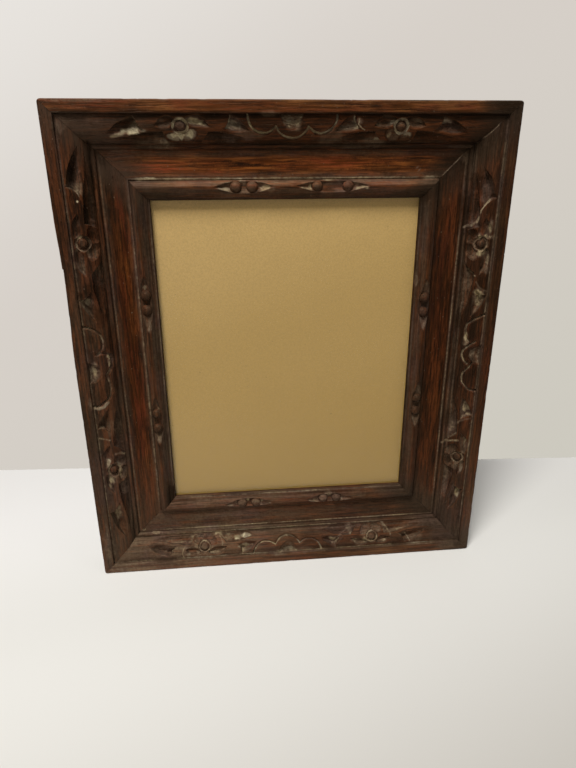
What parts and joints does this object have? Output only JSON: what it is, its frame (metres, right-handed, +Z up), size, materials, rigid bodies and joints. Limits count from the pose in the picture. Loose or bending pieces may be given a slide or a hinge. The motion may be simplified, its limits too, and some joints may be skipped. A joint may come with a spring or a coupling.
{
  "type": "carved wooden picture frame",
  "caption": "Upright carved wooden picture frame: mitred outer moulding with flowers, leaves and scallops round a banded inner frame, glass, card and hinged ring hangers.",
  "frame": {"origin": "middle of the bottom edge's box, where the frame stands", "axes": "+Z up, -Y towards the viewer (the carved face), +X to the viewer's right"},
  "size_m": [0.3556, 0.036, 0.4064],
  "materials": {
    "outer_wood": "dark stained oak, waxed, with dust in the hollows",
    "inner_wood": "reddish stained oak, waxed",
    "glass": "clear picture glass",
    "card": "plain tan card, matt",
    "backing": "thin plywood or hardboard, matt",
    "nail_steel": "dull, a little rusted",
    "hanger_steel": "dulled plated steel"
  },
  "bodies": {
    "frame": {"outer_rail_top": "outer_wood", "outer_rail_bottom": "outer_wood", "outer_stile_left": "outer_wood", "outer_stile_right": "outer_wood", "inner_rail_top": "inner_wood", "inner_rail_bottom": "inner_wood", "inner_stile_left": "inner_wood", "inner_stile_right": "inner_wood", "glass_pane": "glass", "picture_card": "card", "backing_board": "backing", "backing_brads": "nail_steel", "outer_corner_nails": "nail_steel", "inner_corner_nails": "nail_steel", "inner_frame_nails": "nail_steel", "hanger_strap_left": "hanger_steel", "hanger_strap_right": "hanger_steel", "hanger_screws": "hanger_steel"},
    "ring_left": {"hanger_ring_left": "hanger_steel"},
    "ring_right": {"hanger_ring_right": "hanger_steel"}
  },
  "joints": [
    {"name": "ring_left_swing", "type": "hinge", "parent": "frame", "child": "ring_left", "pos_m": [-0.1578, 0.016, 0.29], "axis": [0, 0, 1], "range_deg": [0, 170]},
    {"name": "ring_right_swing", "type": "hinge", "parent": "frame", "child": "ring_right", "pos_m": [0.1578, 0.016, 0.29], "axis": [0, 0, -1], "range_deg": [0, 170]}
  ]
}
